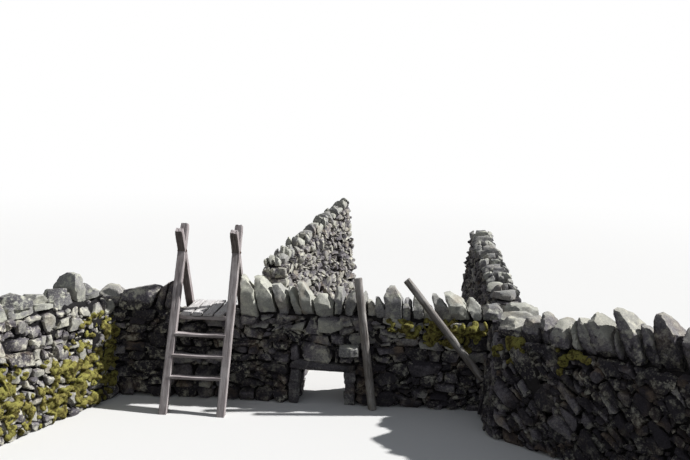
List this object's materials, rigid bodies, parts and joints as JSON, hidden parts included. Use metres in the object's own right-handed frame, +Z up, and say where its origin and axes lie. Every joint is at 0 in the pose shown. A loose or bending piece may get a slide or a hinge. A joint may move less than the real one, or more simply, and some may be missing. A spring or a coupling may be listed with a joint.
{
  "type": "drystone wall ladder stile",
  "caption": "Timber ladder stile with a slatted platform that crosses a drystone wall, beside a sheep hole, with return walls and a spur wall.",
  "frame": {"origin": "centre of the crossed wall's foot under the stile, on the lowest ground that the walls and ladder feet reach", "axes": "+X along the crossed wall towards the sheep hole, +Y across the wall away from the ladder seen in the picture, +Z up"},
  "size_m": [8.1164, 7.2894, 2.0796],
  "materials": {
    "wall_stone": "rough grey field stone with lichen and moss",
    "coping_stone": "rough pale grey stone with lichen",
    "dressed_stone": "split slab, rough",
    "weathered_timber": "unpainted softwood weathered to silver grey",
    "pale_slat": "bleached softwood, worn",
    "old_pole": "round peeled pole, weathered"
  },
  "bodies": {
    "root": {"left_wall_bay": "wall_stone", "stile_wall_bay": "wall_stone", "middle_wall_bay": "wall_stone", "wall_over_sheep_hole": "wall_stone", "right_wall_bay": "wall_stone", "sheep_hole_left_jamb": "dressed_stone", "sheep_hole_right_jamb": "dressed_stone", "sheep_hole_lintel": "dressed_stone", "step_stone": "dressed_stone", "left_return_wall": "wall_stone", "right_return_wall": "wall_stone", "right_wing_wall": "wall_stone", "spur_wall": "wall_stone", "rear_wall": "wall_stone", "left_coping": "coping_stone", "middle_coping": "coping_stone", "right_coping": "coping_stone", "left_return_coping": "coping_stone", "right_return_coping": "coping_stone", "right_wing_coping": "coping_stone", "spur_coping": "coping_stone", "rear_wall_coping": "coping_stone", "front_stringer_left": "weathered_timber", "front_stringer_right": "weathered_timber", "rear_stringer_left": "weathered_timber", "rear_stringer_right": "weathered_timber", "front_rung_bottom": "weathered_timber", "front_rung_middle": "weathered_timber", "front_rung_top": "weathered_timber", "rear_rung_bottom": "weathered_timber", "rear_rung_middle": "weathered_timber", "rear_rung_top": "weathered_timber", "front_platform_bearer": "weathered_timber", "rear_platform_bearer": "weathered_timber", "platform_slat_1": "pale_slat", "platform_slat_2": "pale_slat", "platform_slat_3": "pale_slat", "platform_slat_4": "pale_slat", "upright_stake": "old_pole", "leaning_pole": "old_pole"}
  },
  "joints": []
}
